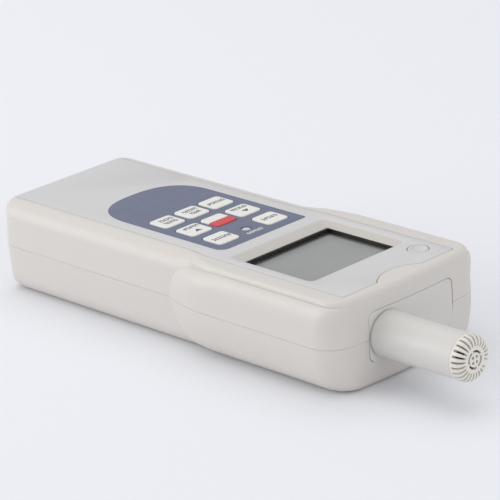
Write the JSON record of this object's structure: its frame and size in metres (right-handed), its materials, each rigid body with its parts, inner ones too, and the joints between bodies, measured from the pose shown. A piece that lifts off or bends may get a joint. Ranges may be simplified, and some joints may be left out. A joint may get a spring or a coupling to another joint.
{
  "type": "sound level meter",
  "caption": "Handheld sound level meter: moulded case with side bulges, display, keypad, round button and an offset microphone barrel with a slotted grille; sliding battery door at the back.",
  "frame": {"origin": "centre of the flat back face the meter lies on", "axes": "+Y toward the microphone end, +Z out of the display face, +X to the right when the display is read with the microphone up"},
  "size_m": [0.069, 0.1966, 0.0321],
  "materials": {
    "shell_plastic": "fine satin texture",
    "face_plastic": "satin",
    "overlay_film": "satin film",
    "key_plastic": "satin",
    "key_power": "satin with a printed half",
    "led_lens": "diffused",
    "clear_lens": "clear polished",
    "black_plastic": "matt black",
    "lcd": "smooth polariser",
    "diffuser": "milky",
    "contact_rubber": "striped",
    "silicone": "matt",
    "laminate": "solder mask over tracks",
    "screw_steel": "zinc plated",
    "chip_resin": "moulded epoxy",
    "can_steel": "drawn can",
    "capacitor_sleeve": "shrink sleeve",
    "nylon": "natural nylon",
    "barrel_plastic": "satin",
    "grille_plastic": "satin",
    "mesh_steel": "woven, blackened",
    "capsule_can": "turned",
    "black_rubber": "matt",
    "nut_metal": "turned",
    "cable_jacket": "matt",
    "cell_jacket": "printed sleeve",
    "nickel": "nickel plated",
    "lead_jacket": "pvc",
    "insert_brass": "knurled"
  },
  "bodies": {
    "meter": {"upper_case": "shell_plastic", "lower_case": "shell_plastic", "faceplate": "face_plastic", "keypad_overlay": "overlay_film", "alarm_led": "led_lens", "window_lens": "clear_lens", "display_frame": "black_plastic", "lcd_glass": "lcd", "backlight_panel": "diffuser", "zebra_strips": "contact_rubber", "keypad_mat": "silicone", "main_board": "laminate", "board_screws": "screw_steel", "main_chip": "chip_resin", "amplifier_chips": "chip_resin", "crystal": "can_steel", "capacitors": "capacitor_sleeve", "buzzer": "black_plastic", "button_switch": "black_plastic", "cable_connector": "nylon", "end_plate": "barrel_plastic", "mic_barrel": "barrel_plastic", "mic_grille": "grille_plastic", "mic_mesh": "mesh_steel", "mic_capsule": "capsule_can", "capsule_sleeve": "black_rubber", "preamp_board": "laminate", "mic_nut": "nut_metal", "mic_seal": "black_rubber", "mic_cable": "cable_jacket", "battery_cells": "cell_jacket", "battery_springs": "nickel", "rear_contacts": "nickel", "bridge_contact": "nickel", "end_contacts": "nickel", "battery_leads": "lead_jacket", "case_screws": "screw_steel", "tripod_insert": "insert_brass"},
    "key_upper_right_body": {"key_upper_right": "key_plastic"},
    "key_upper_left_body": {"key_upper_left": "key_plastic"},
    "key_arrow_right_body": {"key_arrow_right": "key_plastic"},
    "key_power_body": {"key_power": "key_power"},
    "key_arrow_left_body": {"key_arrow_left": "key_plastic"},
    "key_lower_right_body": {"key_lower_right": "key_plastic"},
    "key_lower_centre_body": {"key_lower_centre": "key_plastic"},
    "key_lower_left_body": {"key_lower_left": "key_plastic"},
    "round_button_body": {"round_button": "face_plastic"},
    "battery_door_body": {"battery_door": "shell_plastic"}
  },
  "joints": [
    {"name": "key_upper_right_press", "type": "slide", "parent": "meter", "child": "key_upper_right_body", "axis": [0, 0, -1], "range_m": [0, 0.0005]},
    {"name": "key_upper_left_press", "type": "slide", "parent": "meter", "child": "key_upper_left_body", "axis": [0, 0, -1], "range_m": [0, 0.0005]},
    {"name": "key_arrow_right_press", "type": "slide", "parent": "meter", "child": "key_arrow_right_body", "axis": [0, 0, -1], "range_m": [0, 0.0005]},
    {"name": "key_power_press", "type": "slide", "parent": "meter", "child": "key_power_body", "axis": [0, 0, -1], "range_m": [0, 0.0005]},
    {"name": "key_arrow_left_press", "type": "slide", "parent": "meter", "child": "key_arrow_left_body", "axis": [0, 0, -1], "range_m": [0, 0.0005]},
    {"name": "key_lower_right_press", "type": "slide", "parent": "meter", "child": "key_lower_right_body", "axis": [0, 0, -1], "range_m": [0, 0.0005]},
    {"name": "key_lower_centre_press", "type": "slide", "parent": "meter", "child": "key_lower_centre_body", "axis": [0, 0, -1], "range_m": [0, 0.0005]},
    {"name": "key_lower_left_press", "type": "slide", "parent": "meter", "child": "key_lower_left_body", "axis": [0, 0, -1], "range_m": [0, 0.0005]},
    {"name": "round_button_press", "type": "slide", "parent": "meter", "child": "round_button_body", "axis": [0, 0, -1], "range_m": [0, 0.0004]},
    {"name": "battery_door_slide", "type": "slide", "parent": "meter", "child": "battery_door_body", "axis": [0, -1, 0], "range_m": [0, 0.06]}
  ]
}
